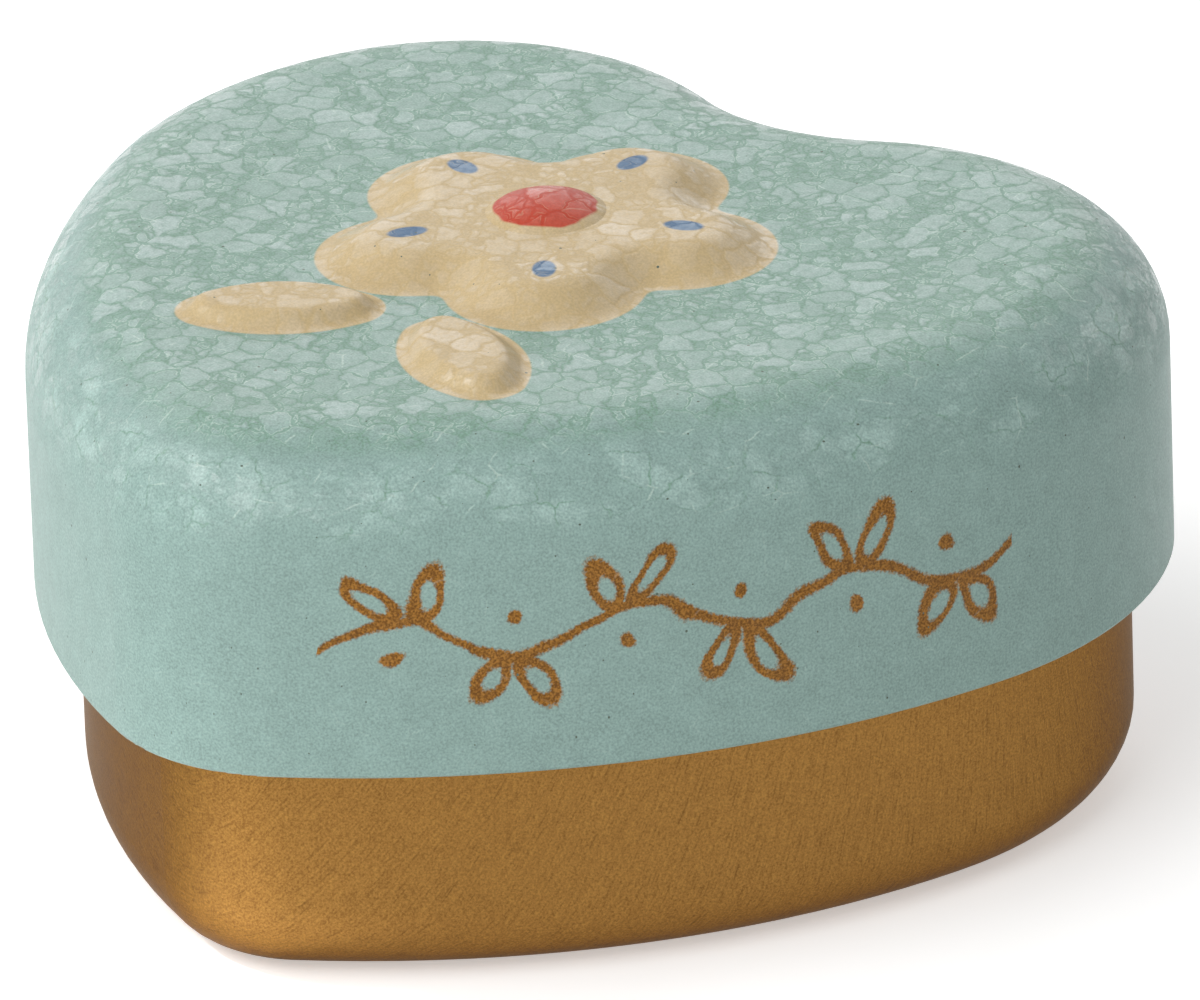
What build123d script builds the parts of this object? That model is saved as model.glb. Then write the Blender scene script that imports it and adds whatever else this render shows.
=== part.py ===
from build123d import *
import os
from math import atan2, cos, degrees, hypot, radians, sin, sqrt

# A heart-shaped keepsake tin: a deep slip lid over a plain base, both drawn from thin
# tinplate. Millimetres. The heart's notch points to +Y and its tip to -Y, the left half
# mirrors the right, and the tin stands on Z = 0 with the origin under its middle.

# Heart outline of the lid from above: each half is a chain of tangent arcs
lid_width = 60.0
side_lobe_radius = 22.2
upper_lobe_radius = 17.1
lobe_join_angle = 28.4  # from +X, where the side lobe's arc meets the upper one
notch_radius = 10.9
flank_radius = 50.0
tip_radius = 10.3
tip_drop = 26.9  # from the side lobes' centres down to the tip's centre

# Both drawn pieces
sheet = 0.3
closed_height = 30.0

# Lid, with its lower edge folded flat against the inside of the wall
lid_depth = 17.4
shoulder_radius = 6.0
hem_height = 2.6
hem_sheet = 0.3
hem_round_share = 0.9  # of half the folded edge's thickness

# Base, with a rolled bead that the lid slips over and rests on
bead_radius = 0.9
bead_wrap = 290.0  # degrees that the edge is rolled through
rim_height = 4.0  # straight wall between the drawn body and the bead's centre
slip_clearance = 0.15  # each side, between the bead and the lid's hem
seat_clearance = 0.15  # between the bead and the inside of the lid's shoulder
base_corner_radius = 4.0

# Bottom panel, pressed in so that the tin stands on the ring round it
panel_recess = 0.6
ring_width = 3.6
panel_tip_radius = 3.0
panel_slope = 45.0  # of its step, from upright
panel_round = 0.3  # of the step's edges

# Five-petalled flower raised in the lid's top
flower_y = 3.4
petal_count = 5
petal_radius = 4.8
petal_reach = 7.0  # from the flower's centre to a petal's
valley_radius = 1.1  # of the small hollow arc between two petals
flower_height = 1.4
flower_slope = 60.0  # of its sides, from upright
flower_round = 2.2  # of its top edge and its foot
button_radius = 3.1
button_height = 0.9

# Two leaves raised below the flower, each from near the middle out towards the shoulder
leaf_start_x = 1.67  # inner end of the right leaf
leaf_drop = 0.2  # from the circle round the petals down to the inner end
leaf_angle = -34.0  # of the right leaf, from +X
leaf_margin = 1.63  # between its outer end and the shoulder
leaf_width = 5.6
leaf_end_radius = 1.8
leaf_height = 0.8
leaf_slope = 50.0
leaf_round = 0.8

# How far a cutter runs past the face that it opens
overrun = 1.0


def arc_point(center, radius, angle):
    """Point on a circle in the XY plane, at an angle in degrees from +X."""
    return (center[0] + radius * cos(radians(angle)), center[1] + radius * sin(radians(angle)))


def direction(start, end):
    """Angle in degrees of the way from one point to another."""
    return degrees(atan2(end[1] - start[1], end[0] - start[0]))


def heart_centers():
    """Centres of the right half's arcs: notch, upper lobe, side lobe, flank and tip."""
    side = (lid_width / 2 - side_lobe_radius, 0)
    upper = arc_point(side, side_lobe_radius - upper_lobe_radius, lobe_join_angle)
    notch = (0, upper[1] + sqrt((upper_lobe_radius + notch_radius) ** 2 - upper[0] ** 2))
    tip = (0, -tip_drop)
    # The flank touches the side lobe and the tip, which gives its centre's two distances.
    to_side = flank_radius - side_lobe_radius
    to_tip = flank_radius - tip_radius
    span = hypot(tip[0] - side[0], tip[1] - side[1])
    along = (to_side**2 - to_tip**2 + span**2) / (2 * span)
    turn = degrees(atan2(sqrt(to_side**2 - along**2), along))
    flank = arc_point(side, to_side, direction(side, tip) - turn)
    # Then the whole outline is centred on the origin.
    shift = (tip_drop + tip_radius - upper[1] - upper_lobe_radius) / 2
    return [(x, y + shift) for x, y in (notch, upper, side, flank, tip)]


def heart_edges(inset, blunt_tip_radius=None):
    """The heart's edges at an inward offset, anticlockwise from the middle of the tip.

    A blunt tip has the radius given, where it fits between the two flanks.
    """
    notch, upper, side, flank, tip = heart_centers()
    tip_round = tip_radius - inset
    if blunt_tip_radius:
        tip_round = blunt_tip_radius
        tip = (0, flank[1] - sqrt((flank_radius - inset - tip_round) ** 2 - flank[0] ** 2))
    tip_end = direction(flank, tip)
    flank_end = direction(flank, side)
    notch_start = direction(notch, upper)
    right = [
        (tip, tip_round, -90, tip_end),
        (flank, flank_radius - inset, tip_end, flank_end),
        (side, side_lobe_radius - inset, flank_end, lobe_join_angle),
        (upper, upper_lobe_radius - inset, lobe_join_angle, notch_start + 180),
        (notch, notch_radius + inset, notch_start, -90),
    ]
    chain = [
        [arc_point(center, radius, angle) for angle in (start, (start + end) / 2, end)]
        for center, radius, start, end in right
    ]
    mirrored = [[(-x, y) for x, y in reversed(arc)] for arc in reversed(chain)]
    return [ThreePointArc(*arc) for arc in chain + mirrored]


def heart_face(inset, blunt_tip_radius=None):
    return make_face(heart_edges(inset, blunt_tip_radius))


def drawn_block(inset, bottom, top, rounded_end, radius):
    """Solid heart with one end's edge rounded: the space inside or the body outside a drawn shell."""
    block = Pos(0, 0, bottom) * extrude(heart_face(inset), top - bottom)
    end_face = block.faces().sort_by(Axis.Z)[-1 if rounded_end == "top" else 0]
    return fillet(end_face.edges(), radius)


def flower_face():
    """Flat flower round the origin, one petal towards +Y, with small hollow arcs between petals."""
    step = 360 / petal_count
    half_gap = petal_reach * sin(radians(step / 2))
    valley_reach = petal_reach * cos(radians(step / 2))
    valley_reach += sqrt((petal_radius + valley_radius) ** 2 - half_gap**2)
    edges = []
    for index in range(petal_count):
        middle = 90 + index * step
        petal = arc_point((0, 0), petal_reach, middle)
        next_petal = arc_point((0, 0), petal_reach, middle + step)
        valley_before = arc_point((0, 0), valley_reach, middle - step / 2)
        valley_after = arc_point((0, 0), valley_reach, middle + step / 2)
        start = arc_point(petal, petal_radius, direction(petal, valley_before))
        crown = arc_point(petal, petal_radius, middle)
        end = arc_point(petal, petal_radius, direction(petal, valley_after))
        hollow = arc_point(valley_after, valley_radius, middle + step / 2 + 180)
        next_start = arc_point(next_petal, petal_radius, direction(next_petal, valley_after))
        edges += [ThreePointArc(start, crown, end), ThreePointArc(end, hollow, next_start)]
    return make_face(edges)


def leaf_start():
    """Inner end of the right leaf."""
    return (leaf_start_x, flower_y - petal_reach - petal_radius - leaf_drop)


def leaf_reach():
    """Length of the right leaf: from its inner end to the margin before the shoulder."""
    flank = heart_centers()[3]
    start = (leaf_start()[0] - flank[0], leaf_start()[1] - flank[1])
    outward = (cos(radians(leaf_angle)), sin(radians(leaf_angle)))
    along = start[0] * outward[0] + start[1] * outward[1]
    reach = flank_radius - shoulder_radius - leaf_margin
    return sqrt(along**2 + reach**2 - start[0] ** 2 - start[1] ** 2) - along


def leaf_face(leaf_length):
    """Flat leaf along X round the origin, of two long arcs and a small one at each end."""
    end_x = leaf_length / 2 - leaf_end_radius
    half_width = leaf_width / 2
    side_radius = (end_x**2 + half_width**2 - leaf_end_radius**2) / (2 * (half_width - leaf_end_radius))
    turn = direction((0, half_width - side_radius), (end_x, 0))
    x, y = arc_point((end_x, 0), leaf_end_radius, turn)
    right_end = ThreePointArc((x, -y), (leaf_length / 2, 0), (x, y))
    upper_side = ThreePointArc((x, y), (0, half_width), (-x, y))
    left_end = ThreePointArc((-x, y), (-leaf_length / 2, 0), (-x, -y))
    lower_side = ThreePointArc((-x, -y), (0, -half_width), (x, -y))
    return make_face([right_end, upper_side, left_end, lower_side])


def round_step(block, before, radius):
    """Round the level edges that a pressed shape has added to a block."""
    return fillet((block.edges() - before.edges()).filter_by(Plane.XY), radius)


def raise_shape(block, face, level, height, slope, rounding):
    """Add a shape with sloping sides to a block's top, its top edge and its foot rounded."""
    raised = block + Pos(0, 0, level) * extrude(face, height, taper=slope)
    return round_step(raised, block, rounding)


def raise_motif(block, level):
    """Add the flower, its domed button and the two leaves to a block's top."""
    flower = Pos(0, flower_y) * flower_face()
    block = raise_shape(block, flower, level, flower_height, flower_slope, flower_round)
    leaf_length = leaf_reach()
    leaf_x, leaf_y = arc_point(leaf_start(), leaf_length / 2, leaf_angle)
    for side in (1, -1):
        turned = Pos(side * leaf_x, leaf_y) * Rot(0, 0, side * leaf_angle) * leaf_face(leaf_length)
        block = raise_shape(block, turned, level, leaf_height, leaf_slope, leaf_round)
    dome_radius = (button_radius**2 + button_height**2) / (2 * button_height)
    crown = level + flower_height + button_height
    dome = Pos(0, flower_y, crown - dome_radius) * Sphere(dome_radius)
    core = Pos(0, flower_y, level) * extrude(Circle(button_radius), crown - level)
    return block + (dome & core)


def make_lid():
    """Deep lid: wide round shoulder, motif pressed out of the top, lower edge folded in."""
    bottom = closed_height - lid_depth
    outside = drawn_block(0, bottom, closed_height, "top", shoulder_radius)
    ceiling = closed_height - sheet
    inside = drawn_block(sheet, bottom + hem_height, ceiling, "top", shoulder_radius - sheet)
    hem_inset = sheet + hem_sheet
    mouth = Pos(0, 0, bottom - overrun) * extrude(heart_face(hem_inset), hem_height + 2 * overrun)
    lid = raise_motif(outside, closed_height) - raise_motif(inside, ceiling) - mouth
    folded_edge = lid.faces().sort_by(Axis.Z)[0]
    return fillet(folded_edge.edges(), hem_round_share * hem_inset / 2)


def rim_face(wall_bottom, bead_z):
    """Section of the base's rim: X outward from the wall's outer face, Y up."""
    wall = Pos(-sheet / 2, (wall_bottom + bead_z) / 2) * Rectangle(sheet, bead_z - wall_bottom)
    center = (bead_radius - sheet, bead_z)
    inner_radius = bead_radius - sheet
    start, end = 180 - bead_wrap, 180
    middle = (start + end) / 2
    outer_arc = ThreePointArc(*[arc_point(center, bead_radius, angle) for angle in (start, middle, end)])
    inner_arc = ThreePointArc(*[arc_point(center, inner_radius, angle) for angle in (end, middle, start)])
    root = Line(outer_arc @ 1, inner_arc @ 0)
    lip = Line(inner_arc @ 1, outer_arc @ 0)
    return wall + make_face([outer_arc, root, inner_arc, lip])


def make_base():
    """Deep base: round bottom corner, pressed-in bottom panel, rolled bead on the rim."""
    # The wall stands inside the lid by the hem, the clearance and the bead's reach.
    bead_inset = sheet + hem_sheet + slip_clearance + bead_radius
    wall_inset = bead_inset + bead_radius - sheet
    # The bead's centre lies where its circle just clears the shoulder's inner arc.
    sideways = shoulder_radius - bead_inset
    apart = shoulder_radius - sheet - seat_clearance - bead_radius
    bead_z = closed_height - shoulder_radius + sqrt(apart**2 - sideways**2)
    wall_top = bead_z - rim_height

    outside = drawn_block(wall_inset, 0, wall_top, "bottom", base_corner_radius)
    inner_corner = base_corner_radius - sheet
    inside = drawn_block(wall_inset + sheet, sheet, wall_top + overrun, "bottom", inner_corner)
    panel_inset = wall_inset + base_corner_radius + ring_width
    panel = extrude(heart_face(panel_inset, panel_tip_radius), panel_recess, taper=panel_slope)
    outside = round_step(outside - panel, outside, panel_round)
    inside = round_step(inside - Pos(0, 0, sheet) * panel, inside, panel_round)

    path = Wire(heart_edges(wall_inset))
    section = Plane(origin=path @ 0, x_dir=(0, -1, 0), z_dir=-(path % 0)) * rim_face(wall_top, bead_z)
    return outside - inside + sweep(section, path)


os.makedirs("parts", exist_ok=True)
for name, piece in (("base", make_base()), ("lid", make_lid())):
    export_step(piece, f"parts/{name}.step")
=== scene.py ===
from math import cos, hypot, pi, radians, sin

import bpy
from mathutils import Matrix, Vector

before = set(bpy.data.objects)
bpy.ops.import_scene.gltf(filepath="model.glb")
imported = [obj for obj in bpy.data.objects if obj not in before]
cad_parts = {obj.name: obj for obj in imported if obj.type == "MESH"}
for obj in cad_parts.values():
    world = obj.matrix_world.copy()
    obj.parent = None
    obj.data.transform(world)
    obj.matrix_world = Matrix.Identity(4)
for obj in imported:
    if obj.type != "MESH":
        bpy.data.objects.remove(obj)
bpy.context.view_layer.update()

# The view: a long lens looks down on the closed tin from the front right, so that the
# heart's tip points to the lower left of the picture and its notch to the upper right.
# The camera is turned a little about its own axis, as it was over the real tin.
MM = 0.001
view_azimuth = radians(37.4)
view_elevation = radians(24.1)
view_roll = radians(-1.9)
view_distance = 1129 * MM
view_target = Vector((0.1, 7.0, 13.9)) * MM
lens_mm = 658.6

camera_data = bpy.data.cameras.new("camera")
camera_data.lens = lens_mm
camera_data.sensor_width = 36
camera_data.clip_start = 0.01
camera = bpy.data.objects.new("camera", camera_data)
bpy.context.scene.collection.objects.link(camera)
back = Vector((sin(view_azimuth) * cos(view_elevation),
               -cos(view_azimuth) * cos(view_elevation),
               sin(view_elevation)))
side = Vector((0, 0, 1)).cross(back).normalized()
level = Matrix((side, back.cross(side), back)).transposed().to_4x4()
camera.matrix_world = (Matrix.Translation(view_target + back * view_distance)
                       @ level @ Matrix.Rotation(view_roll, 4, "Z"))
bpy.context.scene.camera = camera

# The base is a tray drawn from one sheet of tinplate with a gold lacquer on it. The fine
# straight grain of the rolled sheet runs up its walls where the press has turned them, and
# the lacquer dries a little sandy. Its rim is rolled over into a bead that the lid rests on.
grain_direction = radians(-12)  # of the rolled grain in the flat sheet, from +X
streak_length = 2.0
streak_width = 0.15  # coarser than the mill's own lines, which would not show
sand_width = 0.12
cloud_size = 8.0  # of the patches where the lacquer dries a little duller
lacquer_relief = 0.018


def srgb(code):
    """Linear colour of an sRGB hex code."""
    channels = [int(code[start:start + 2], 16) / 255 for start in (1, 3, 5)]
    return [c / 12.92 if c <= 0.04045 else ((c + 0.055) / 1.055) ** 2.4 for c in channels] + [1.0]


def add(tree, kind, inputs=(), **settings):
    """Add a node with its settings, and give each input its value or its link."""
    node = tree.nodes.new(kind)
    for name, value in settings.items():
        setattr(node, name, value)
    for key, value in dict(inputs).items():
        if isinstance(value, bpy.types.NodeSocket):
            tree.links.new(value, node.inputs[key])
        else:
            node.inputs[key].default_value = value
    return node


def new_material(name):
    """A material with an empty node tree."""
    material = bpy.data.materials.new(name)
    material.use_nodes = True
    material.node_tree.nodes.clear()
    return material


gold = new_material("gold_lacquered_tinplate")
tree = gold.node_tree

# The place of each point, in millimetres
where = add(tree, "ShaderNodeTexCoord").outputs
place = add(tree, "ShaderNodeMapping", {"Vector": where["Object"], "Scale": (1 / MM,) * 3}).outputs[0]
at = add(tree, "ShaderNodeSeparateXYZ", {0: place}).outputs

# Where each point lay in the flat sheet: its height is laid out along the wall's normal
laid_out = add(tree, "ShaderNodeVectorMath", {0: where["Normal"], "Scale": at[2]},
               operation="SCALE").outputs[0]
in_sheet = add(tree, "ShaderNodeVectorMath", {0: place, 1: laid_out}, operation="ADD").outputs[0]
along_grain = add(tree, "ShaderNodeVectorRotate", {
    "Vector": in_sheet, "Angle": -grain_direction}).outputs[0]
stretched = add(tree, "ShaderNodeMapping", {
    "Vector": along_grain, "Scale": (1 / streak_length, 1 / streak_width, 0)}).outputs[0]
streaks = add(tree, "ShaderNodeTexNoise", {
    "Vector": stretched, "Scale": 1.0, "Detail": 2.0}).outputs["Fac"]
sand = add(tree, "ShaderNodeTexNoise", {
    "Vector": place, "Scale": 1 / sand_width, "Detail": 2.0, "Roughness": 0.7}).outputs["Fac"]
clouds = add(tree, "ShaderNodeTexNoise", {
    "Vector": place, "Scale": 1 / cloud_size, "Detail": 2.0}).outputs["Fac"]

# Grain and sand make the relief and the tone, and thin dark lines run along the grain
relief = add(tree, "ShaderNodeMath", {0: streaks, 1: 0.5, 2: sand}, operation="MULTIPLY_ADD").outputs[0]
bump = add(tree, "ShaderNodeBump", {
    "Height": relief, "Distance": lacquer_relief * MM, "Strength": 1.0}).outputs[0]
tone = add(tree, "ShaderNodeMath", {0: streaks, 1: 0.35, 2: sand}, operation="MULTIPLY_ADD").outputs[0]
tone = add(tree, "ShaderNodeMapRange", {"Value": tone, "From Min": 0.4, "From Max": 0.95}).outputs[0]
lacquer = add(tree, "ShaderNodeMix", {
    "Factor": tone, "A": srgb("#6E4A1C"), "B": srgb("#A87C3C")}, data_type="RGBA").outputs["Result"]
scratch = add(tree, "ShaderNodeMapRange", {
    "Value": streaks, "From Min": 0.27, "From Max": 0.37, "To Min": 0.4, "To Max": 0.0}).outputs[0]
lacquer = add(tree, "ShaderNodeMix", {
    "Factor": scratch, "A": lacquer, "B": srgb("#5E3F17")}, data_type="RGBA").outputs["Result"]

# Satin lacquer, a little duller in patches, that tones the metal's own edge reflection down
satin = add(tree, "ShaderNodeMapRange", {
    "Value": clouds, "From Min": 0.3, "From Max": 0.7, "To Min": 0.4, "To Max": 0.46}).outputs[0]
shader = add(tree, "ShaderNodeBsdfPrincipled", {
    "Base Color": lacquer, "Metallic": 1.0, "Roughness": satin, "Normal": bump,
    "Specular Tint": srgb("#909090"), "Coat Weight": 0.2, "Coat Roughness": 0.3,
    "Coat Normal": bump})
add(tree, "ShaderNodeOutputMaterial", {"Surface": shader.outputs[0]})
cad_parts["base"].data.materials.clear()
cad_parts["base"].data.materials.append(gold)

# The lid is drawn from tinplate that was painted mint and then given a crackle varnish,
# which shrinks as it dries into flat glossy islands with duller paint between them. The
# flower and leaves were printed in cream and are pressed up out of the same sheet.
lid_top = 30.0
half_length = 30.0
hem_top = 15.2
print_floor = lid_top - 1.0  # nothing below this height is printed with the flower or leaves
flower_y = 3.4
petal_count = 5
petal_radius = 4.8
petal_reach = 7.0
petal_blend = 1.6  # how softly one petal's outline runs into the next
leaf_x = 5.82
leaf_y = -11.4
leaf_angle = radians(-34)
leaf_length = 10.0
leaf_width = 5.6
leaf_end_radius = 1.8
print_margin = 0.3  # how far the cream print runs past the foot of the raised shapes
print_edge = 0.12  # width over which a print fades at its edge
print_wobble = 0.35  # how far a hand-drawn edge strays
button_print = 2.6
dot_reach = 7.4  # from the flower's centre to the blue dot on each petal
dot_length = 1.9
dot_width = 1.1
island_width = 1.65
chip_width = 0.75
whole_share = 0.5  # of the wide islands that aren't broken into chips
border_bend = 0.75  # how far a slow noise moves the islands' borders at most
varnish_foot = -0.03  # from the border, so that an island starts with a small step
varnish_full = 0.24  # from the border to where an island has its full thickness
crack_floor = 0.015  # from the border to where the crack's edge starts to rise
crack_edge = 0.08  # from the border to where the crack ends
curl_highlight_place = 0.11  # from the border to the painted highlight on an island's curled edge
curl_highlight_width = 0.05
flake_width = 2.6
flake_floor = 0.012  # this and the next two are shares of a flake's width, from its border
flake_edge = 0.035
flake_full = 0.07
hair_spacing = 3.4
hair_width = 0.07
hair_bend = 0.25  # how far the slow noise moves a hairline at most
speck_spacing = 2.2
speck_share = 0.4  # of the places for a speck that have one
speck_width = 0.16
grain_width = 0.12  # coarser than the paint's own grain, which would not show
drift_size = 0.8  # of the waves that bend the borders of islands
pool_size = 4.5  # of the areas where the varnish lies thicker or thinner
ripple_size = 0.4  # of the ripples on one island
patch_size = 1.25  # of the areas with or without a kind of crack
scatter_size = 3.125  # of the areas where the shoulder's flakes stand close
hand_size = 1.6  # of the waves in a hand-drawn edge
varnish_relief = 0.016

mint = new_material("mint_crackle_varnish")
tree = mint.node_tree
where = add(tree, "ShaderNodeTexCoord").outputs
place = add(tree, "ShaderNodeMapping", {"Vector": where["Object"], "Scale": (1 / MM,) * 3}).outputs[0]
at = add(tree, "ShaderNodeSeparateXYZ", {0: place}).outputs

# Where each point lay in the flat sheet: its depth is laid out along the wall's normal
depth = add(tree, "ShaderNodeMath", {0: lid_top, 1: at[2]}, operation="SUBTRACT").outputs[0]
depth = add(tree, "ShaderNodeMath", {0: depth, 1: 0.0}, operation="MAXIMUM").outputs[0]
laid_out = add(tree, "ShaderNodeVectorMath", {0: where["Normal"], "Scale": depth},
               operation="SCALE").outputs[0]
in_sheet = add(tree, "ShaderNodeVectorMath", {0: place, 1: laid_out}, operation="ADD").outputs[0]

# Islands of varnish, their borders bent by a slow noise: about half of the wide ones are
# broken up into narrow ones
drift = add(tree, "ShaderNodeTexNoise", {"Vector": in_sheet, "Scale": 1 / drift_size, "Detail": 1.0},
            noise_dimensions="2D").outputs["Color"]
bent = add(tree, "ShaderNodeVectorMath", {0: drift, 1: (border_bend,) * 3, 2: in_sheet},
           operation="MULTIPLY_ADD").outputs[0]
chances = []
borders = []
for width in (island_width, chip_width):
    cell = add(tree, "ShaderNodeTexVoronoi", {"Vector": bent, "Scale": 1 / width},
               voronoi_dimensions="2D").outputs["Color"]
    chances.append(add(tree, "ShaderNodeSeparateColor", {0: cell}).outputs["Red"])
    border = add(tree, "ShaderNodeTexVoronoi", {"Vector": bent, "Scale": 1 / width},
                 feature="DISTANCE_TO_EDGE", voronoi_dimensions="2D").outputs["Distance"]
    borders.append(add(tree, "ShaderNodeMath", {0: border, 1: width}, operation="MULTIPLY").outputs[0])
whole = add(tree, "ShaderNodeMath", {0: chances[0], 1: 1 - whole_share},
            operation="GREATER_THAN").outputs[0]
border = add(tree, "ShaderNodeMath", {0: whole, 1: chip_width, 2: borders[1]},
             operation="MULTIPLY_ADD").outputs[0]
border = add(tree, "ShaderNodeMath", {0: borders[0], 1: border}, operation="MINIMUM").outputs[0]

# Each island has a thickness of its own, rounds off at its border, and ripples a little
chance = add(tree, "ShaderNodeMix", {"Factor": whole, "A": chances[1], "B": chances[0]}).outputs["Result"]
gloss = add(tree, "ShaderNodeMapRange", {
    "Value": chance, "From Min": 0.1, "From Max": 1.0, "To Min": 0.2, "To Max": 0.9}).outputs[0]
plateau = add(tree, "ShaderNodeMapRange", {
    "Value": border, "From Min": varnish_foot, "From Max": varnish_full},
    interpolation_type="SMOOTHSTEP").outputs[0]
varnish = add(tree, "ShaderNodeMath", {0: gloss, 1: plateau}, operation="MULTIPLY").outputs[0]
slow = add(tree, "ShaderNodeTexNoise", {"Vector": in_sheet, "Scale": 1 / pool_size, "Detail": 1.0},
           noise_dimensions="2D").outputs["Fac"]
slow = add(tree, "ShaderNodeMapRange", {
    "Value": slow, "From Min": 0.35, "From Max": 0.65, "To Min": 0.78, "To Max": 1.1}).outputs[0]
varnish = add(tree, "ShaderNodeMath", {0: varnish, 1: slow}, operation="MULTIPLY").outputs[0]
fine = add(tree, "ShaderNodeTexNoise", {"Vector": in_sheet, "Scale": 1 / ripple_size, "Detail": 2.0},
           noise_dimensions="2D").outputs["Fac"]
fine = add(tree, "ShaderNodeMapRange", {
    "Value": fine, "From Min": 0.35, "From Max": 0.6, "To Min": 0.62, "To Max": 1.08}).outputs[0]
varnish = add(tree, "ShaderNodeMath", {0: varnish, 1: fine}, operation="MULTIPLY").outputs[0]

# Between two islands lies a thin green crack, deeper in some patches than in others
patchy = add(tree, "ShaderNodeTexNoise", {
    "Vector": place, "Scale": 1 / patch_size, "Detail": 1.0}).outputs["Fac"]
deep = add(tree, "ShaderNodeMapRange", {
    "Value": patchy, "From Min": 0.38, "From Max": 0.62, "To Min": 1.0, "To Max": 0.25}).outputs[0]
crack = add(tree, "ShaderNodeMapRange", {
    "Value": border, "From Min": crack_floor, "From Max": crack_edge,
    "To Min": 0.9, "To Max": 0.0}).outputs[0]
crack = add(tree, "ShaderNodeMath", {0: crack, 1: deep}, operation="MULTIPLY").outputs[0]
curl_highlight = add(tree, "ShaderNodeMath", {0: border, 1: curl_highlight_place, 2: curl_highlight_width / 2},
           operation="COMPARE").outputs[0]
facing = add(tree, "ShaderNodeSeparateXYZ", {0: where["Normal"]}).outputs

# The level top, where the cracks and the islands' painted reflection show, and the walls, where the
# varnish runs thin and its cracks hardly show
level_top = add(tree, "ShaderNodeMapRange", {
    "Value": facing[2], "From Min": 0.8, "From Max": 0.99}, interpolation_type="SMOOTHSTEP").outputs[0]
thick = add(tree, "ShaderNodeMapRange", {
    "Value": facing[2], "From Min": 0.1, "From Max": 0.5, "To Min": 0.15}).outputs[0]
film = add(tree, "ShaderNodeMath", {0: varnish, 1: thick}, operation="MULTIPLY").outputs[0]
crack = add(tree, "ShaderNodeMath", {0: crack, 1: level_top}, operation="MULTIPLY").outputs[0]

# On the rounded shoulder, a painted reflection in wide pale flakes, in patches, with green cracks between
# them
flake = add(tree, "ShaderNodeTexVoronoi", {"Vector": bent, "Scale": 1 / flake_width},
            feature="DISTANCE_TO_EDGE", voronoi_dimensions="2D").outputs["Distance"]
between_flakes = add(tree, "ShaderNodeMapRange", {
    "Value": flake, "From Min": flake_floor, "From Max": flake_edge,
    "To Min": 2.0, "To Max": 0.0}).outputs[0]
flake = add(tree, "ShaderNodeMapRange", {
    "Value": flake, "From Min": 0.0, "From Max": flake_full}).outputs[0]
flaked = add(tree, "ShaderNodeTexNoise", {
    "Vector": in_sheet, "Scale": 1 / scatter_size, "Detail": 5.0, "Roughness": 0.65},
    noise_dimensions="2D").outputs["Fac"]
flaked = add(tree, "ShaderNodeMapRange", {
    "Value": flaked, "From Min": 0.47, "From Max": 0.62, "To Max": 0.42}).outputs[0]
from_wall = add(tree, "ShaderNodeMapRange", {
    "Value": facing[2], "From Min": 0.2, "From Max": 0.45}, interpolation_type="SMOOTHSTEP").outputs[0]
from_top = add(tree, "ShaderNodeMapRange", {
    "Value": facing[2], "From Min": 0.92, "From Max": 0.72}, interpolation_type="SMOOTHSTEP").outputs[0]
rounded = add(tree, "ShaderNodeMath", {0: from_wall, 1: from_top}, operation="MULTIPLY").outputs[0]
flaked = add(tree, "ShaderNodeMath", {0: flaked, 1: rounded}, operation="MULTIPLY").outputs[0]
painted_flake_reflection = add(tree, "ShaderNodeMath", {0: flake, 1: flaked}, operation="MULTIPLY").outputs[0]
between_flakes = add(tree, "ShaderNodeMath", {0: between_flakes, 1: flaked},
                     operation="MULTIPLY").outputs[0]
crack = add(tree, "ShaderNodeMath", {0: crack, 1: between_flakes}, operation="MAXIMUM").outputs[0]

# Sandy grain of the paint, sparse dark specks, and short pale hairlines: a scratch here and there, and a
# painted highlight along the curled edge of an island
grain = add(tree, "ShaderNodeTexNoise", {
    "Vector": place, "Scale": 1 / grain_width, "Detail": 1.0}).outputs["Fac"]
speck_cell = add(tree, "ShaderNodeTexVoronoi", {"Vector": in_sheet, "Scale": 1 / speck_spacing},
                 voronoi_dimensions="2D").outputs
speck_size = add(tree, "ShaderNodeSeparateColor", {0: speck_cell["Color"]}).outputs["Green"]
speck_size = add(tree, "ShaderNodeMapRange", {
    "Value": speck_size, "From Min": 1 - speck_share, "From Max": 1.0,
    "To Max": speck_width / 2 / speck_spacing}).outputs[0]
speck = add(tree, "ShaderNodeMath", {0: speck_cell["Distance"], 1: speck_size},
            operation="LESS_THAN").outputs[0]
slightly_bent = add(tree, "ShaderNodeVectorMath", {0: drift, 1: (hair_bend,) * 3, 2: in_sheet},
                    operation="MULTIPLY_ADD").outputs[0]
hairs_and_highlight = add(tree, "ShaderNodeTexVoronoi", {"Vector": slightly_bent, "Scale": 1 / hair_spacing},
           feature="DISTANCE_TO_EDGE", voronoi_dimensions="2D").outputs["Distance"]
hairs_and_highlight = add(tree, "ShaderNodeMapRange", {
    "Value": hairs_and_highlight, "From Min": hair_width / 2 / hair_spacing, "From Max": hair_width / hair_spacing,
    "To Min": 0.5, "To Max": 0.0}).outputs[0]
hair_here = add(tree, "ShaderNodeMapRange", {
    "Value": patchy, "From Min": 0.54, "From Max": 0.64}).outputs[0]
hair_strength = add(tree, "ShaderNodeMapRange", {
    "Value": from_wall, "To Min": 0.2, "To Max": 0.8}).outputs[0]
hairs_and_highlight = add(tree, "ShaderNodeMath", {0: hairs_and_highlight, 1: hair_strength}, operation="MULTIPLY").outputs[0]
hairs_and_highlight = add(tree, "ShaderNodeMath", {0: hairs_and_highlight, 1: hair_here}, operation="MULTIPLY").outputs[0]
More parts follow.
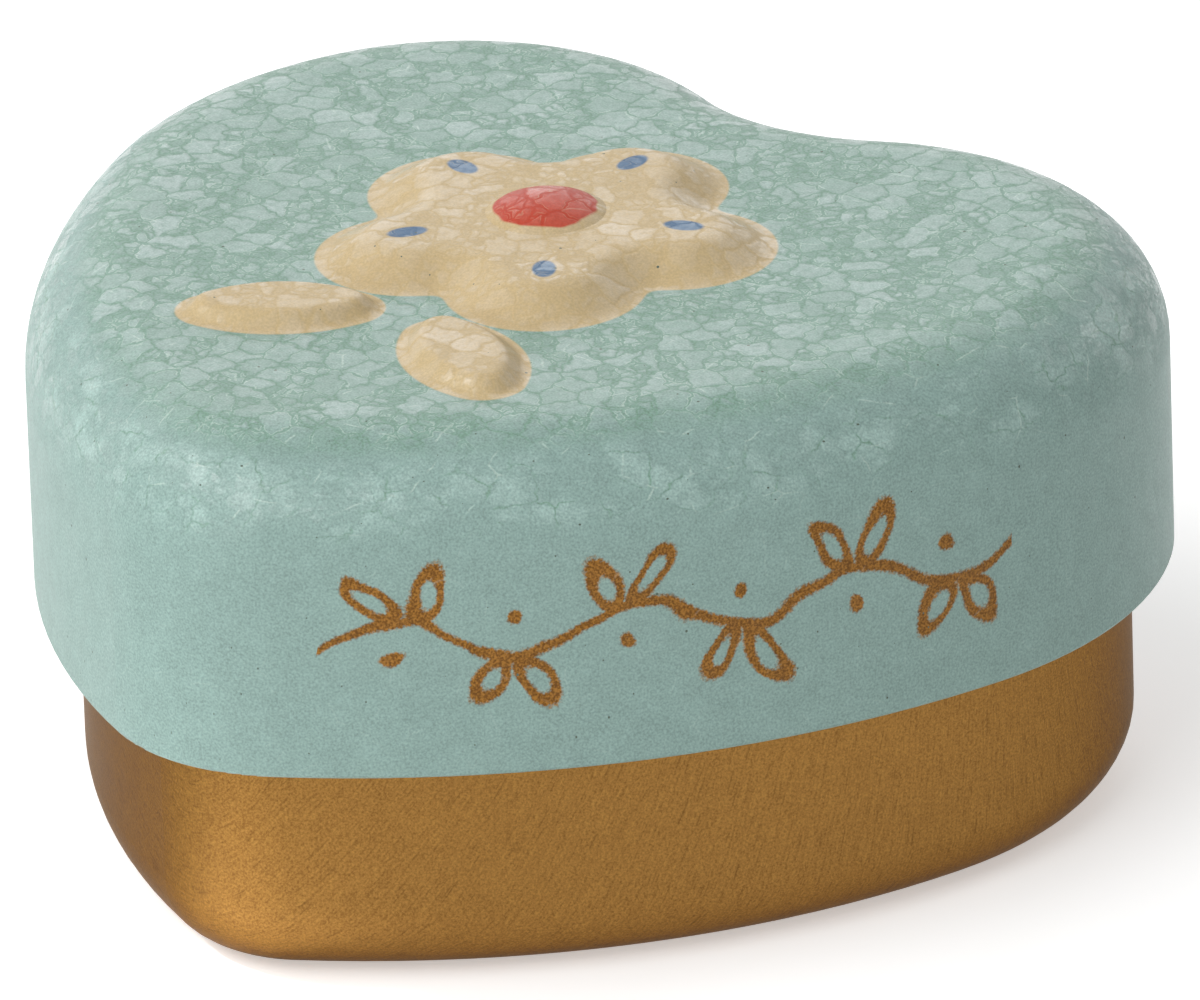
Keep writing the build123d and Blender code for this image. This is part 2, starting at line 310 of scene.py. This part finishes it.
# A painted highlight along the curled edge of some islands, on the level top only
curl_highlight_here = add(tree, "ShaderNodeMapRange", {
    "Value": patchy, "From Min": 0.48, "From Max": 0.56, "To Max": 0.42}).outputs[0]
curl_highlight = add(tree, "ShaderNodeMath", {0: curl_highlight, 1: curl_highlight_here}, operation="MULTIPLY").outputs[0]
curl_highlight = add(tree, "ShaderNodeMath", {0: curl_highlight, 1: level_top}, operation="MULTIPLY").outputs[0]
hairs_and_highlight = add(tree, "ShaderNodeMath", {0: hairs_and_highlight, 1: curl_highlight}, operation="MAXIMUM").outputs[0]

# Cream print: the flower is one petal, repeated by folding the angle round its centre
centred = add(tree, "ShaderNodeMapping", {
    "Vector": place, "Location": (0, -flower_y, 0), "Scale": (1, 1, 0)}).outputs[0]
from_flower = add(tree, "ShaderNodeSeparateXYZ", {0: centred}).outputs
radius = add(tree, "ShaderNodeVectorMath", {0: centred}, operation="LENGTH").outputs["Value"]
angle = add(tree, "ShaderNodeMath", {0: from_flower[0], 1: from_flower[1]},
            operation="ARCTAN2").outputs[0]
folded = add(tree, "ShaderNodeMath", {0: angle, 1: pi / petal_count}, operation="PINGPONG").outputs[0]
across = add(tree, "ShaderNodeMath", {0: folded}, operation="SINE").outputs[0]
along = add(tree, "ShaderNodeMath", {0: folded}, operation="COSINE").outputs[0]
spot = add(tree, "ShaderNodeCombineXYZ", {0: across, 1: along}).outputs[0]
spot = add(tree, "ShaderNodeVectorMath", {0: spot, "Scale": radius}, operation="SCALE").outputs[0]
outlines = []
for turn in (0, 2 * pi / petal_count):
    middle = (petal_reach * sin(turn), petal_reach * cos(turn), 0)
    reach = add(tree, "ShaderNodeVectorMath", {0: spot, 1: middle}, operation="DISTANCE").outputs["Value"]
    outline = add(tree, "ShaderNodeMath", {0: reach, 1: petal_radius}, operation="SUBTRACT").outputs[0]
    outlines.append(outline)
petals = add(tree, "ShaderNodeMath", {0: outlines[0], 1: outlines[1], 2: petal_blend},
             operation="SMOOTH_MIN").outputs[0]
heart_of_flower = add(tree, "ShaderNodeMath", {0: radius, 1: petal_reach},
                      operation="SUBTRACT").outputs[0]
flower = add(tree, "ShaderNodeMath", {0: petals, 1: heart_of_flower}, operation="MINIMUM").outputs[0]

# Each leaf lies between two arcs, with rounded ends
mirrored = add(tree, "ShaderNodeMath", {0: at[0]}, operation="ABSOLUTE").outputs[0]
half = add(tree, "ShaderNodeCombineXYZ", {0: mirrored, 1: at[1]}).outputs[0]
half = add(tree, "ShaderNodeVectorMath", {0: half, 1: (leaf_x, leaf_y, 0)},
           operation="SUBTRACT").outputs[0]
half = add(tree, "ShaderNodeVectorRotate", {"Vector": half, "Angle": -leaf_angle}).outputs[0]
half = add(tree, "ShaderNodeVectorMath", {0: half}, operation="ABSOLUTE").outputs[0]
end_x = leaf_length / 2 - leaf_end_radius
half_width = leaf_width / 2
arc_radius = (end_x ** 2 + half_width ** 2 - leaf_end_radius ** 2) / (2 * (half_width - leaf_end_radius))
arc_y = half_width - arc_radius
arc_end = end_x + leaf_end_radius * end_x / hypot(end_x, arc_y)
arc_reach = add(tree, "ShaderNodeVectorMath", {0: half, 1: (0, arc_y, 0)},
                operation="DISTANCE").outputs["Value"]
side = add(tree, "ShaderNodeMath", {0: arc_reach, 1: arc_radius}, operation="SUBTRACT").outputs[0]
past = add(tree, "ShaderNodeSeparateXYZ", {0: half}).outputs[0]
past = add(tree, "ShaderNodeMath", {0: past, 1: arc_end}, operation="SUBTRACT").outputs[0]
side = add(tree, "ShaderNodeMath", {0: side, 1: past}, operation="MAXIMUM").outputs[0]
end = add(tree, "ShaderNodeVectorMath", {0: half, 1: (end_x, 0, 0)},
          operation="DISTANCE").outputs["Value"]
end = add(tree, "ShaderNodeMath", {0: end, 1: leaf_end_radius}, operation="SUBTRACT").outputs[0]
leaf = add(tree, "ShaderNodeMath", {0: side, 1: end}, operation="MINIMUM").outputs[0]
motif = add(tree, "ShaderNodeMath", {0: flower, 1: leaf}, operation="MINIMUM").outputs[0]
cream_here = add(tree, "ShaderNodeMapRange", {
    "Value": motif, "From Min": print_margin, "From Max": print_margin + print_edge,
    "To Min": 1.0, "To Max": 0.0}).outputs[0]
on_top = add(tree, "ShaderNodeMath", {0: at[2], 1: print_floor}, operation="GREATER_THAN").outputs[0]
cream_here = add(tree, "ShaderNodeMath", {0: cream_here, 1: on_top}, operation="MULTIPLY").outputs[0]

# The print covers the paint's grain and its hairlines by half
calm = add(tree, "ShaderNodeMath", {0: cream_here, 1: 0.5}, operation="MULTIPLY").outputs[0]

# Coral button in the flower's middle and a blue dot on each petal, drawn by hand
wobble = add(tree, "ShaderNodeTexNoise", {
    "Vector": place, "Scale": 1 / hand_size, "Detail": 1.0}).outputs["Fac"]
button = add(tree, "ShaderNodeMath", {0: wobble, 1: 2 * print_wobble, 2: radius},
             operation="MULTIPLY_ADD").outputs[0]
button_edge = button_print + print_wobble
coral_here = add(tree, "ShaderNodeMapRange", {
    "Value": button, "From Min": button_edge, "From Max": button_edge + print_edge,
    "To Min": 1.0, "To Max": 0.0}).outputs[0]
dot = add(tree, "ShaderNodeVectorMath", {0: spot, 1: (0, dot_reach, 0)}, operation="SUBTRACT").outputs[0]
dot = add(tree, "ShaderNodeVectorMath", {0: dot, 1: (2 / dot_width, 2 / dot_length, 0)},
          operation="MULTIPLY").outputs[0]
dot = add(tree, "ShaderNodeVectorMath", {0: dot}, operation="LENGTH").outputs["Value"]
blue_here = add(tree, "ShaderNodeMapRange", {
    "Value": dot, "From Min": 1.0, "From Max": 1.0 + 2 * print_edge / dot_width,
    "To Min": 1.0, "To Max": 0.0}).outputs[0]
blue_here = add(tree, "ShaderNodeMath", {0: blue_here, 1: on_top}, operation="MULTIPLY").outputs[0]
coral_here = add(tree, "ShaderNodeMath", {0: coral_here, 1: on_top}, operation="MULTIPLY").outputs[0]

# A vine drawn in gold-brown crayon runs along the right flank of the wall. Distance along
# the flank's arc and height above the vine's middle make a flat strip, and each half wave
# of the strip is the same drawing, upside down in every second one.
flank_center = (-18.805, 16.901, 0)
flank_radius = 50.0
vine_start = radians(-57.5)
vine_middle = 20.3
half_wave = 5.9
half_waves = 6
wave_height = 1.15
end_run = 0.12  # of a half wave, that the stem runs on at both ends
vine_reach = 4.6  # up or down, past the longest loop
stroke = 0.26  # half the crayon's width
stroke_fade = 0.15  # width over which its edge thins out
stray_size = 4.0  # of the waves in the hand's line
stray_run = 2.2  # how far the hand strays along the wall
stray_rise = 1.8  # and up or down
crumb_size = 0.16  # of the gaps along the crayon's edge
crumb_depth = 0.35
stem_slope = 0.88  # mean cosine of the stem's slope, which makes its width even
from_flank = add(tree, "ShaderNodeVectorMath", {0: place, 1: flank_center},
                 operation="SUBTRACT").outputs[0]
flank_at = add(tree, "ShaderNodeSeparateXYZ", {0: from_flank}).outputs
flank_angle = add(tree, "ShaderNodeMath", {0: flank_at[1], 1: flank_at[0]},
                  operation="ARCTAN2").outputs[0]
run = add(tree, "ShaderNodeMath", {0: flank_angle, 1: flank_radius, 2: -vine_start * flank_radius},
          operation="MULTIPLY_ADD").outputs[0]
rise = add(tree, "ShaderNodeMath", {0: at[2], 1: vine_middle}, operation="SUBTRACT").outputs[0]
stray = add(tree, "ShaderNodeTexNoise", {
    "Vector": place, "Scale": 1 / stray_size, "Detail": 1.0}).outputs["Color"]
stray = add(tree, "ShaderNodeSeparateColor", {0: stray}).outputs
run = add(tree, "ShaderNodeMath", {0: stray["Red"], 1: stray_run, 2: run},
          operation="MULTIPLY_ADD").outputs[0]
run = add(tree, "ShaderNodeMath", {0: run, 1: stray_run / 2}, operation="SUBTRACT").outputs[0]
rise = add(tree, "ShaderNodeMath", {0: stray["Green"], 1: stray_rise, 2: rise},
           operation="MULTIPLY_ADD").outputs[0]
rise = add(tree, "ShaderNodeMath", {0: rise, 1: stray_rise / 2}, operation="SUBTRACT").outputs[0]
waves = add(tree, "ShaderNodeMath", {0: run, 1: half_wave}, operation="DIVIDE").outputs[0]
wave = add(tree, "ShaderNodeMath", {0: waves}, operation="FLOOR").outputs[0]
flip = add(tree, "ShaderNodeMath", {0: wave, 1: pi}, operation="MULTIPLY").outputs[0]
flip = add(tree, "ShaderNodeMath", {0: flip}, operation="COSINE").outputs[0]
part = add(tree, "ShaderNodeMath", {0: waves, 1: wave}, operation="SUBTRACT").outputs[0]
stem_x = add(tree, "ShaderNodeMath", {0: part, 1: half_wave, 2: -half_wave / 2},
             operation="MULTIPLY_ADD").outputs[0]
stem_y = add(tree, "ShaderNodeMath", {0: rise, 1: flip}, operation="MULTIPLY").outputs[0]
strip = add(tree, "ShaderNodeCombineXYZ", {0: stem_x, 1: stem_y}).outputs[0]
arch = add(tree, "ShaderNodeMath", {0: stem_x, 1: pi / half_wave}, operation="MULTIPLY").outputs[0]
arch = add(tree, "ShaderNodeMath", {0: arch}, operation="COSINE").outputs[0]
arch = add(tree, "ShaderNodeMath", {0: arch, 1: -wave_height, 2: stem_y},
           operation="MULTIPLY_ADD").outputs[0]
arch = add(tree, "ShaderNodeMath", {0: arch}, operation="ABSOLUTE").outputs[0]
stem = add(tree, "ShaderNodeMath", {0: arch, 1: stem_slope}, operation="MULTIPLY").outputs[0]

# Off every half wave stand a dot under the arch and two loops over it, each an ellipse with
# its middle, its lean in degrees, its length and its width
dot_place = (-0.2, -0.9, 0)
dot_radius = 0.2
loop_extra = 0.1  # on top of half a loop's width, for a fair mean of its radius
sprig = add(tree, "ShaderNodeVectorMath", {0: strip, 1: dot_place},
            operation="DISTANCE").outputs["Value"]
sprig = add(tree, "ShaderNodeMath", {0: sprig, 1: dot_radius}, operation="SUBTRACT").outputs[0]
for x, y, lean, length, width in ((1.15, 2.55, 58, 2.9, 1.3), (-1.25, 2.3, 124, 2.4, 1.15)):
    loop = add(tree, "ShaderNodeVectorMath", {0: strip, 1: (x, y, 0)}, operation="SUBTRACT").outputs[0]
    loop = add(tree, "ShaderNodeVectorRotate", {"Vector": loop, "Angle": -radians(lean)}).outputs[0]
    loop = add(tree, "ShaderNodeVectorMath", {0: loop, 1: (2 / length, 2 / width, 0)},
               operation="MULTIPLY").outputs[0]
    loop = add(tree, "ShaderNodeVectorMath", {0: loop}, operation="LENGTH").outputs["Value"]
    loop = add(tree, "ShaderNodeMath", {0: loop, 1: 1.0}, operation="SUBTRACT").outputs[0]
    loop = add(tree, "ShaderNodeMath", {0: loop}, operation="ABSOLUTE").outputs[0]
    loop = add(tree, "ShaderNodeMath", {0: loop, 1: width / 2 + loop_extra},
               operation="MULTIPLY").outputs[0]
    sprig = add(tree, "ShaderNodeMath", {0: sprig, 1: loop}, operation="MINIMUM").outputs[0]
from_middle = add(tree, "ShaderNodeMath", {0: waves, 1: half_waves / 2}, operation="SUBTRACT").outputs[0]
from_middle = add(tree, "ShaderNodeMath", {0: from_middle}, operation="ABSOLUTE").outputs[0]
past_end = add(tree, "ShaderNodeMath", {0: from_middle, 1: half_waves / 2},
               operation="GREATER_THAN").outputs[0]
sprig = add(tree, "ShaderNodeMath", {0: sprig, 1: past_end}, operation="ADD").outputs[0]
vine = add(tree, "ShaderNodeMath", {0: stem, 1: sprig}, operation="MINIMUM").outputs[0]

# The crayon crumbles along its edge, and ends past the first and the last half wave
crayon_edge = stroke + crumb_depth / 2
rough = add(tree, "ShaderNodeTexNoise", {
    "Vector": place, "Scale": 1 / crumb_size, "Detail": 2.0}).outputs["Fac"]
rough = add(tree, "ShaderNodeMath", {0: rough, 1: crumb_depth, 2: vine},
            operation="MULTIPLY_ADD").outputs[0]
crayon_here = add(tree, "ShaderNodeMapRange", {
    "Value": rough, "From Min": crayon_edge - stroke_fade / 2, "From Max": crayon_edge + stroke_fade / 2,
    "To Min": 1.0, "To Max": 0.0}).outputs[0]
for value, low, high in ((waves, -end_run, half_waves + end_run),
                         (flank_at[0], flank_radius / 2, 2 * flank_radius),
                         (rise, -vine_reach, vine_reach)):
    above = add(tree, "ShaderNodeMath", {0: value, 1: low}, operation="GREATER_THAN").outputs[0]
    below = add(tree, "ShaderNodeMath", {0: value, 1: high}, operation="LESS_THAN").outputs[0]
    crayon_here = add(tree, "ShaderNodeMath", {0: crayon_here, 1: above}, operation="MULTIPLY").outputs[0]
    crayon_here = add(tree, "ShaderNodeMath", {0: crayon_here, 1: below}, operation="MULTIPLY").outputs[0]

# The inside keeps the sheet's gold lacquer: faces above the hem that look inwards or down
level_place = add(tree, "ShaderNodeVectorMath", {0: place, 1: (1, 1, 0)},
                  operation="MULTIPLY").outputs[0]
outward = add(tree, "ShaderNodeVectorMath", {0: level_place, 1: where["Normal"]},
              operation="DOT_PRODUCT").outputs["Value"]
outward = add(tree, "ShaderNodeMath", {0: facing[2], 1: half_length, 2: outward},
              operation="MULTIPLY_ADD").outputs[0]
inside = add(tree, "ShaderNodeMath", {0: outward, 1: 0.0}, operation="LESS_THAN").outputs[0]
above_hem = add(tree, "ShaderNodeMath", {0: at[2], 1: hem_top}, operation="GREATER_THAN").outputs[0]
inside = add(tree, "ShaderNodeMath", {0: inside, 1: above_hem}, operation="MULTIPLY").outputs[0]

# Paint: green-grey between the islands and paler under them, the paleness a painted reflection of their
# gloss on the level top, with the paler tone all over elsewhere; then each print over it
painted_island_reflection = add(tree, "ShaderNodeMath", {0: 1.0, 1: level_top}, operation="SUBTRACT").outputs[0]
painted_island_reflection = add(tree, "ShaderNodeMath", {0: painted_island_reflection, 1: varnish}, operation="MAXIMUM").outputs[0]
mint_tone = add(tree, "ShaderNodeMix", {
    "Factor": painted_island_reflection, "A": srgb("#86A497"), "B": srgb("#8FAAA3")}, data_type="RGBA").outputs["Result"]
paint = add(tree, "ShaderNodeMix", {
    "Factor": crack, "A": mint_tone, "B": srgb("#7A9D8A")}, data_type="RGBA").outputs["Result"]
# Pale flakes on the shoulder: a painted reflection
paint = add(tree, "ShaderNodeMix", {
    "Factor": painted_flake_reflection, "A": paint, "B": srgb("#B4CFC8")}, data_type="RGBA").outputs["Result"]
crayon_grain = add(tree, "ShaderNodeMapRange", {
    "Value": grain, "From Min": 0.35, "From Max": 0.65}).outputs[0]
# The cream, coral and blue prints are paler under the islands, a painted reflection of their gloss; the
# crayon's tone follows its grain
for here, paleness, deep_tone, pale_tone in (
        (cream_here, varnish, "#C6AF84", "#CCB895"),
        (coral_here, varnish, "#B8432F", "#C2553F"),
        (blue_here, varnish, "#4A6A8A", "#587A98"),
        (crayon_here, crayon_grain, "#754A10", "#9C6B26")):
    tone = add(tree, "ShaderNodeMix", {"Factor": paleness, "A": srgb(deep_tone), "B": srgb(pale_tone)},
               data_type="RGBA").outputs["Result"]
    paint = add(tree, "ShaderNodeMix", {"Factor": here, "A": paint, "B": tone},
                data_type="RGBA").outputs["Result"]
# Scratches and the painted highlight on curled island edges take a pale tone, cream on the print
hairs_and_highlight_tone = add(tree, "ShaderNodeMix", {
    "Factor": cream_here, "A": srgb("#C3D6CC"), "B": srgb("#D6C6A6")}, data_type="RGBA").outputs["Result"]
bare = add(tree, "ShaderNodeMath", {0: 1.0, 1: calm}, operation="SUBTRACT").outputs[0]
hairs_and_highlight = add(tree, "ShaderNodeMath", {0: hairs_and_highlight, 1: bare}, operation="MULTIPLY").outputs[0]
paint = add(tree, "ShaderNodeMix", {"Factor": hairs_and_highlight, "A": paint, "B": hairs_and_highlight_tone},
            data_type="RGBA").outputs["Result"]
paint = add(tree, "ShaderNodeMix", {
    "Factor": speck, "A": paint, "B": srgb("#5C6A5E")}, data_type="RGBA").outputs["Result"]

# The grain lightens and darkens the paint, and the inside is bare gold lacquer
shade = add(tree, "ShaderNodeMath", {0: patchy, 1: 0.25, 2: grain}, operation="MULTIPLY_ADD").outputs[0]
shade = add(tree, "ShaderNodeMapRange", {
    "Value": shade, "From Min": 0.375, "From Max": 0.875, "To Min": 0.8, "To Max": 1.2}).outputs[0]
shade = add(tree, "ShaderNodeMix", {"Factor": calm, "A": shade, "B": 1.0}).outputs["Result"]
paint = add(tree, "ShaderNodeVectorMath", {0: paint, "Scale": shade}, operation="SCALE").outputs[0]
surface = add(tree, "ShaderNodeMix", {
    "Factor": inside, "A": paint, "B": srgb("#98703A")}, data_type="RGBA").outputs["Result"]
plain = add(tree, "ShaderNodeMath", {0: 1.0, 1: inside}, operation="SUBTRACT").outputs[0]
gloss = add(tree, "ShaderNodeMapRange", {"Value": film, "To Min": 0.06, "To Max": 1.0}).outputs[0]
gloss = add(tree, "ShaderNodeMath", {0: gloss, 1: plain}, operation="MULTIPLY").outputs[0]
relief = add(tree, "ShaderNodeMath", {0: grain, 1: 0.07, 2: film}, operation="MULTIPLY_ADD").outputs[0]
bump = add(tree, "ShaderNodeBump", {
    "Height": relief, "Distance": varnish_relief * MM, "Strength": 1.0}).outputs[0]
shader = add(tree, "ShaderNodeBsdfPrincipled", {
    "Base Color": surface, "Metallic": inside, "Roughness": 0.5, "Specular IOR Level": 0.2,
    "Coat Weight": gloss, "Coat Roughness": 0.2, "Normal": bump, "Coat Normal": bump})
add(tree, "ShaderNodeOutputMaterial", {"Surface": shader.outputs[0]})
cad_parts["lid"].data.materials.clear()
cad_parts["lid"].data.materials.append(mint)

# The studio: the tin stands on a sheet of white paper between soft box lights on stands,
# in a weak even glow. The paper and the backdrop look white to the camera and in gloss, but
# light the tin no more than plain paper does.
floor_size = 4.0  # metres
floor_drop = 0.02 * MM  # keeps the paper clear of the tin's standing ring
paper_glow = 0.42
bpy.ops.object.select_all(action="DESELECT")
bpy.ops.mesh.primitive_plane_add(size=floor_size, location=(0, 0, -floor_drop))
floor = bpy.context.object
floor.name = "floor"
paper = new_material("white_paper")
tree = paper.node_tree
path = add(tree, "ShaderNodeLightPath").outputs
seen = path["Is Camera Ray"]
for kind in ("Is Glossy Ray", "Is Transmission Ray"):
    seen = add(tree, "ShaderNodeMath", {0: seen, 1: path[kind]}, operation="MAXIMUM").outputs[0]
glow = add(tree, "ShaderNodeMath", {0: seen, 1: paper_glow}, operation="MULTIPLY").outputs[0]
shader = add(tree, "ShaderNodeBsdfPrincipled", {
    "Base Color": srgb("#F6F6F6"), "Roughness": 0.9,
    "Emission Color": (1, 1, 1, 1), "Emission Strength": glow})
add(tree, "ShaderNodeOutputMaterial", {"Surface": shader.outputs[0]})
floor.data.materials.append(paper)

# A large soft box high at the front left lights the walls, a small low one the gold, one
# behind glances off the level top, and a small one at the right rear picks out its edge. Each
# has its direction from the tin in degrees as for the view, its distance, width and height in
# metres, and its power in watts.
for name, azimuth, elevation, distance, width, height, strength in (
        ("front_light", -24, 48, 1.2, 1.9, 0.55, 13.4),
        ("low_light", -6, 10, 1.3, 0.5, 0.25, 2.2),
        ("back_light", 217, 30, 1.5, 1.2, 1.2, 3.1),
        ("edge_light", 157, 26, 1.3, 0.4, 0.4, 1.0)):
    light = bpy.data.lights.new(name, "AREA")
    light.shape = "RECTANGLE"
    light.size = width
    light.size_y = height
    light.energy = strength
    lamp = bpy.data.objects.new(name, light)
    bpy.context.scene.collection.objects.link(lamp)
    azimuth, elevation = radians(azimuth), radians(elevation)
    way = Vector((sin(azimuth) * cos(elevation), -cos(azimuth) * cos(elevation), sin(elevation)))
    lamp.location = way * distance
    lamp.rotation_euler = way.to_track_quat("Z", "Y").to_euler()

# A small spot beside the tip brightens the paper there, which shows in the gold lacquer
pool = Vector((-1.3, -33.6, 0)) * MM
pool_distance = 0.6
light = bpy.data.lights.new("pool_light", "SPOT")
light.energy = 32.0
light.spot_size = radians(1.8)
light.spot_blend = 1.0
light.shadow_soft_size = 5 * MM
lamp = bpy.data.objects.new("pool_light", light)
bpy.context.scene.collection.objects.link(lamp)
way = Vector((-0.6, -0.35, 0.72)).normalized()
lamp.location = pool + way * pool_distance
lamp.rotation_euler = way.to_track_quat("Z", "Y").to_euler()

# The even glow, with the white backdrop that stands behind the tin for the view
sky_glow = 0.33
backdrop_way = (-0.602, 0.799, 0)  # level, away from the view
backdrop_edge = 0.1  # cosine of the angle off that way at which the backdrop ends
backdrop_full = 0.6  # and at which it is fully white
world = bpy.data.worlds.new("studio")
world.use_nodes = True
world.node_tree.nodes.clear()
tree = world.node_tree
backdrop = add(tree, "ShaderNodeTexCoord").outputs["Generated"]
backdrop = add(tree, "ShaderNodeVectorMath", {0: backdrop, 1: backdrop_way},
               operation="DOT_PRODUCT").outputs["Value"]
backdrop = add(tree, "ShaderNodeMapRange", {
    "Value": backdrop, "From Min": backdrop_edge, "From Max": backdrop_full},
    interpolation_type="SMOOTHSTEP").outputs[0]
path = add(tree, "ShaderNodeLightPath").outputs
in_gloss = add(tree, "ShaderNodeMath", {0: path["Is Glossy Ray"], 1: path["Is Transmission Ray"]},
               operation="MAXIMUM").outputs[0]
backdrop = add(tree, "ShaderNodeMath", {0: in_gloss, 1: backdrop}, operation="MULTIPLY").outputs[0]
backdrop = add(tree, "ShaderNodeMath", {0: path["Is Camera Ray"], 1: backdrop},
               operation="MAXIMUM").outputs[0]
glow = add(tree, "ShaderNodeMapRange", {"Value": backdrop, "To Min": sky_glow, "To Max": 1.0}).outputs[0]
sky = add(tree, "ShaderNodeBackground", {"Color": (1, 1, 1, 1), "Strength": glow})
add(tree, "ShaderNodeOutputWorld", {"Surface": sky.outputs[0]})
bpy.context.scene.world = world

bpy.context.scene.view_settings.view_transform = "Standard"
